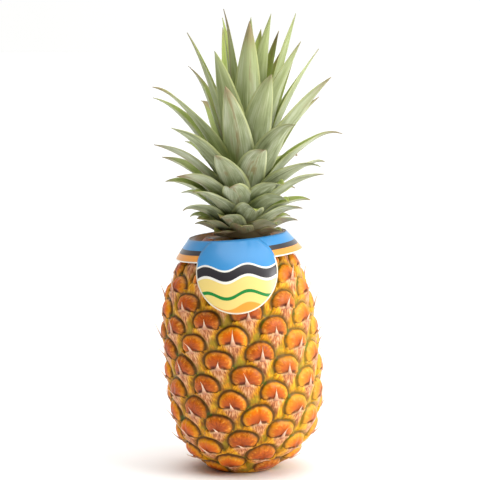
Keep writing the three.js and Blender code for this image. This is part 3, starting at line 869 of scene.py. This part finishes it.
def leaf_material():
    """Grey-green leaf with a pale bloom outside, yellow-green inside, with dry streaks and tips."""
    graph = Graph("leaf")
    across = graph.field("leaf_across")
    along = graph.field("leaf_along")
    leaf = graph.scaled(graph.field("leaf_tone"), LEAF_SPREAD)
    vein_place = graph.vector(graph.scaled(across, VEINS_ACROSS), graph.scaled(along, VEINS_ALONG), leaf)
    veins = graph.noise(vein_place, VEIN_SCALE, detail=4)
    cloud_place = graph.vector(graph.scaled(across, CLOUDS_ACROSS), graph.scaled(along, CLOUDS_ALONG), leaf)
    clouds = graph.noise(cloud_place, CLOUD_SCALE, detail=4)
    final = leaf_dried(graph, leaf_fresh(graph, veins, clouds), veins, clouds)
    graph.bump(veins, strength=0.4, distance=0.6)
    return graph.finish(Base_Color=final, Roughness=0.5)


def make_crown():
    """The core and every leaf of the crown."""
    ring = np.arange(CORE_SIDES) * 2 * math.pi / CORE_SIDES
    rows = [(radius * np.sin(ring), -radius * np.cos(ring), np.full(CORE_SIDES, height))
            for radius, height in ((CORE_BASE_RADIUS, 0), (CORE_TOP_RADIUS, CORE_HEIGHT))]
    points = [np.stack(row, axis=-1) for row in rows]
    faces = blade_faces(2, CORE_SIDES, 0)
    count = 2 * CORE_SIDES
    fields = {key: [np.zeros(count)] for key in leaf_points(0)[1]}
    for index in range(-SKIRT_LEAVES, LEAF_COUNT):
        rings, traits = leaf_points(index)
        points.append(rings.reshape(-1, 3))
        faces += blade_faces(rings.shape[0], rings.shape[1], count)
        count += rings.shape[0] * rings.shape[1]
        for key, values in traits.items():
            fields[key].append(values.ravel())
    points = turned(np.concatenate(points), "Y", CROWN_LEAN)
    points[:, 2] += FRUIT_HEIGHT + CROWN_GAP
    fields = {key: np.concatenate(values) for key, values in fields.items()}
    make_piece("crown_leaves", "crown", points, faces, fields, leaf_material())


def card_meridian(down):
    """Distance out, height and slope of the card at a distance down from its rim."""
    straight = np.minimum(down, COLLAR_BEND_START)
    slope = COLLAR_SLOPE - COLLAR_BEND * (down - straight)
    bent_out = (np.cos(slope) - math.cos(COLLAR_SLOPE)) / COLLAR_BEND
    bent_down = (math.sin(COLLAR_SLOPE) - np.sin(slope)) / COLLAR_BEND
    out = COLLAR_TOP_RADIUS + straight * math.sin(COLLAR_SLOPE) + bent_out
    return out, -straight * math.cos(COLLAR_SLOPE) - bent_down, slope


def card_point(down, turn, lift):
    """Points of the collar: distance down the card, turn from the front and lift off the card."""
    out, height, slope = card_meridian(down)
    radius = out + lift * np.cos(slope)
    points = np.stack([radius * np.sin(turn), -radius * np.cos(turn), height + lift * np.sin(slope)], axis=-1)
    settled = turned(turned(points, "X", COLLAR_TILT), "Y", -COLLAR_ROLL)
    return settled + np.array(COLLAR_CENTRE)


# Paper: colours of the print and of the plain back.
PRINT_BLUE = colour(60, 150, 215)
PRINT_DARK = colour(48, 44, 48)
PRINT_WHITE = colour(250, 246, 236)
PRINT_CREAM = colour(250, 222, 134)
PRINT_GREEN = colour(38, 140, 66)
PRINT_RIM = colour(250, 240, 214)
BAND_ORANGE = colour(244, 162, 66)
DISC_ORANGE = colour(246, 170, 70)
PAPER_GREYS = ((0.3, colour(178, 172, 160)), (0.7, colour(206, 200, 188)))
BAND_STRIPES = ((0.0, PRINT_BLUE), (0.46, PRINT_DARK), (0.68, BAND_ORANGE), (0.95, PRINT_WHITE))
DISC_STRIPES = (
    (0.0, PRINT_BLUE),
    (0.36, PRINT_WHITE),
    (0.385, PRINT_DARK),
    (0.5, PRINT_WHITE),
    (0.53, PRINT_CREAM),
    (0.68, PRINT_GREEN),
    (0.72, PRINT_CREAM),
    (0.83, DISC_ORANGE),
)
WAVE_TURN = 0.21
WAVE_HEIGHT = 2.4
RIM_START = 0.965
RIM_FULL = 0.975
RIM_TOP = 16
RIM_FOOT = 20
PAPER_FIBRE_SCALE = 300
PAPER_WAVE_SCALE = 40


def card_material(name, print_colour):
    """Coated paper, printed on its front and plain grey-white on its back."""
    graph = Graph(name)
    fibres = graph.noise(graph.place(), PAPER_FIBRE_SCALE)
    final = graph.mix(graph.field("printed"), graph.ramp(fibres, PAPER_GREYS), print_colour(graph))
    graph.bump(graph.noise(graph.place(), PAPER_WAVE_SCALE, detail=1), strength=0.08, distance=1.0)
    return graph.finish(Base_Color=final, Roughness=0.3, Coat_Weight=0.3, Coat_Roughness=0.12)


def hard_stripes(graph, level, stops):
    """Stripes with sharp edges."""
    stripes = graph.ramp(level, stops)
    stripes.node.color_ramp.interpolation = "CONSTANT"
    return stripes


def band_print(graph):
    """Stripes round the ring: blue, dark grey, orange and a white edge."""
    level = graph.math("DIVIDE", graph.field("card_down"), COLLAR_BAND)
    return hard_stripes(graph, level, BAND_STRIPES)


def disc_print(graph):
    """Plain waves across the disc: blue, dark between white lines, cream with a green wave, and orange."""
    down = graph.field("card_down")
    turn = graph.scaled(graph.field("card_across"), WAVE_TURN)
    wave = graph.scaled(graph.math("SINE", turn), WAVE_HEIGHT)
    level = graph.math("DIVIDE", graph.math("ADD", down, wave), 2 * DISC_RADIUS)
    stripes = hard_stripes(graph, level, DISC_STRIPES)
    edge = graph.step(graph.field("card_rim"), RIM_START, RIM_FULL)
    rim = graph.math("MULTIPLY", edge, graph.step(down, RIM_TOP, RIM_FOOT))
    return graph.mix(rim, stripes, PRINT_RIM)


def make_collar_band():
    """The ring round the neck."""
    half = CARD_THICKNESS / 2
    slant = np.linspace(0, COLLAR_BAND, COLLAR_ROWS)
    slant = np.concatenate([slant, slant[::-1]])[:, None]
    printed = np.repeat([1.0, 0.0], COLLAR_ROWS)[:, None]
    turn = np.arange(COLLAR_COLUMNS)[None, :] * 2 * math.pi / COLLAR_COLUMNS
    rings = card_point(slant + 0 * turn, turn + 0 * slant, half * (2 * printed - 1) + 0 * turn)
    fields = {
        "card_down": (slant + 0 * turn).ravel(),
        "printed": (printed + 0 * turn).ravel(),
    }
    rows = len(rings)
    faces = grid_faces(rows, COLLAR_COLUMNS)
    last = (rows - 1) * COLLAR_COLUMNS
    for column in range(COLLAR_COLUMNS):
        following = (column + 1) % COLLAR_COLUMNS
        faces.append([last + column, last + following, following, column])
    points = rings.reshape(-1, 3)
    material = card_material("collar_band_print", band_print)
    make_piece("collar_band", "paper_collar", points, faces, fields, material)


def disc_reach(way):
    """How far the disc reaches from its middle: round, but cut off straight just below the collar's rim."""
    room = DISC_DROP - DISC_TRIM
    return np.minimum(DISC_RADIUS, room / np.maximum(np.sin(way), SMALLEST_SINE))


def make_collar_disc():
    """The round disc in front, which hangs from the ring and follows its bend."""
    fill = np.linspace(DISC_HEART, 1, DISC_RINGS)
    fill = np.concatenate([fill, fill[::-1]])[:, None]
    printed = np.repeat([0.0, 1.0], DISC_RINGS)[:, None]
    inked = np.where(fill == 1, 1.0, printed)
    way = np.arange(DISC_SIDES)[None, :] * 2 * math.pi / DISC_SIDES
    reach = disc_reach(way) * fill
    across = reach * np.cos(way)
    down = DISC_DROP - reach * np.sin(way)
    turn = (DISC_SHIFT + across) / card_meridian(down)[0]
    lift = DISC_PROUD + CARD_THICKNESS / 2 * (2 * printed - 1) + 0 * way
    rings = card_point(down, turn, lift)
    fields = {
        "card_across": across.ravel(),
        "card_down": down.ravel(),
        "card_rim": (fill + 0 * way).ravel(),
        "printed": (inked + 0 * way).ravel(),
    }
    points = rings.reshape(-1, 3)
    faces = blade_faces(2 * DISC_RINGS, DISC_SIDES, 0)
    material = card_material("collar_disc_print", disc_print)
    make_piece("collar_disc", "paper_collar", points, faces, fields, material)


def make_floor():
    """A plain pale floor."""
    bpy.ops.mesh.primitive_circle_add(vertices=FLOOR_SIDES, radius=FLOOR_RADIUS, fill_type="NGON")
    floor = bpy.context.object
    floor.name = "floor"
    graph = Graph("pale_floor")
    cloth = graph.noise(graph.place(), FLOOR_CLOTH_SCALE, detail=2)
    floor.data.materials.append(graph.finish(Base_Color=graph.ramp(cloth, FLOOR_PALES), Roughness=0.8))


def make_lamp(name, size, energy, place, target):
    """A round soft lamp turned towards a target."""
    light = bpy.data.lights.new(name, "AREA")
    light.shape = "DISK"
    light.size = size
    light.energy = energy
    lamp = bpy.data.objects.new(name, light)
    bpy.context.collection.objects.link(lamp)
    lamp.location = place
    lamp.rotation_euler = (Vector(target) - Vector(place)).to_track_quat("-Z", "Y").to_euler()


def make_light():
    """A soft white room, brighter behind and to the right, with a key lamp and an overhead lamp."""
    world = bpy.data.worlds.new("studio")
    bpy.context.scene.world = world
    world.use_nodes = True
    tree = world.node_tree
    place = tree.nodes.new("ShaderNodeTexCoord")
    slope = tree.nodes.new("ShaderNodeVectorMath")
    slope.operation = "DOT_PRODUCT"
    slope.inputs[1].default_value = ROOM_SLOPE
    level = tree.nodes.new("ShaderNodeMath")
    level.inputs[1].default_value = ROOM_LEVEL
    ray = tree.nodes.new("ShaderNodeLightPath")
    seen = tree.nodes.new("ShaderNodeMath")
    seen.operation = "MAXIMUM"
    tree.links.new(place.outputs["Generated"], slope.inputs[0])
    tree.links.new(slope.outputs["Value"], level.inputs[0])
    tree.links.new(level.outputs[0], seen.inputs[0])
    tree.links.new(ray.outputs["Is Camera Ray"], seen.inputs[1])
    tree.links.new(seen.outputs[0], tree.nodes["Background"].inputs["Strength"])
    tree.nodes["Background"].inputs["Color"].default_value = ROOM_COLOUR
    make_lamp("key", KEY_SIZE, KEY_POWER, KEY_PLACE, KEY_TARGET)
    overhead = bpy.data.lights.new("overhead", "SUN")
    overhead.energy = OVERHEAD_LEVEL
    overhead.angle = OVERHEAD_ANGLE
    bpy.context.collection.objects.link(bpy.data.objects.new("overhead", overhead))


def make_camera():
    """The camera in front of the object, a little above it."""
    target = Vector(CAMERA_TARGET)
    back = Vector((0, -math.cos(CAMERA_ELEVATION), math.sin(CAMERA_ELEVATION)))
    camera = bpy.data.objects.new("camera", bpy.data.cameras.new("camera"))
    bpy.context.collection.objects.link(camera)
    camera.data.lens = CAMERA_LENS
    camera.location = (target + back * CAMERA_DISTANCE) * MM
    camera.rotation_euler = (-back).to_track_quat("-Z", "Y").to_euler()
    camera.data.clip_end = CAMERA_REACH
    bpy.context.scene.camera = camera
    bpy.context.scene.view_settings.view_transform = "Standard"


make_fruit()
make_bract_tips()
make_crown()
make_collar_band()
make_collar_disc()
make_floor()
make_light()
make_camera()
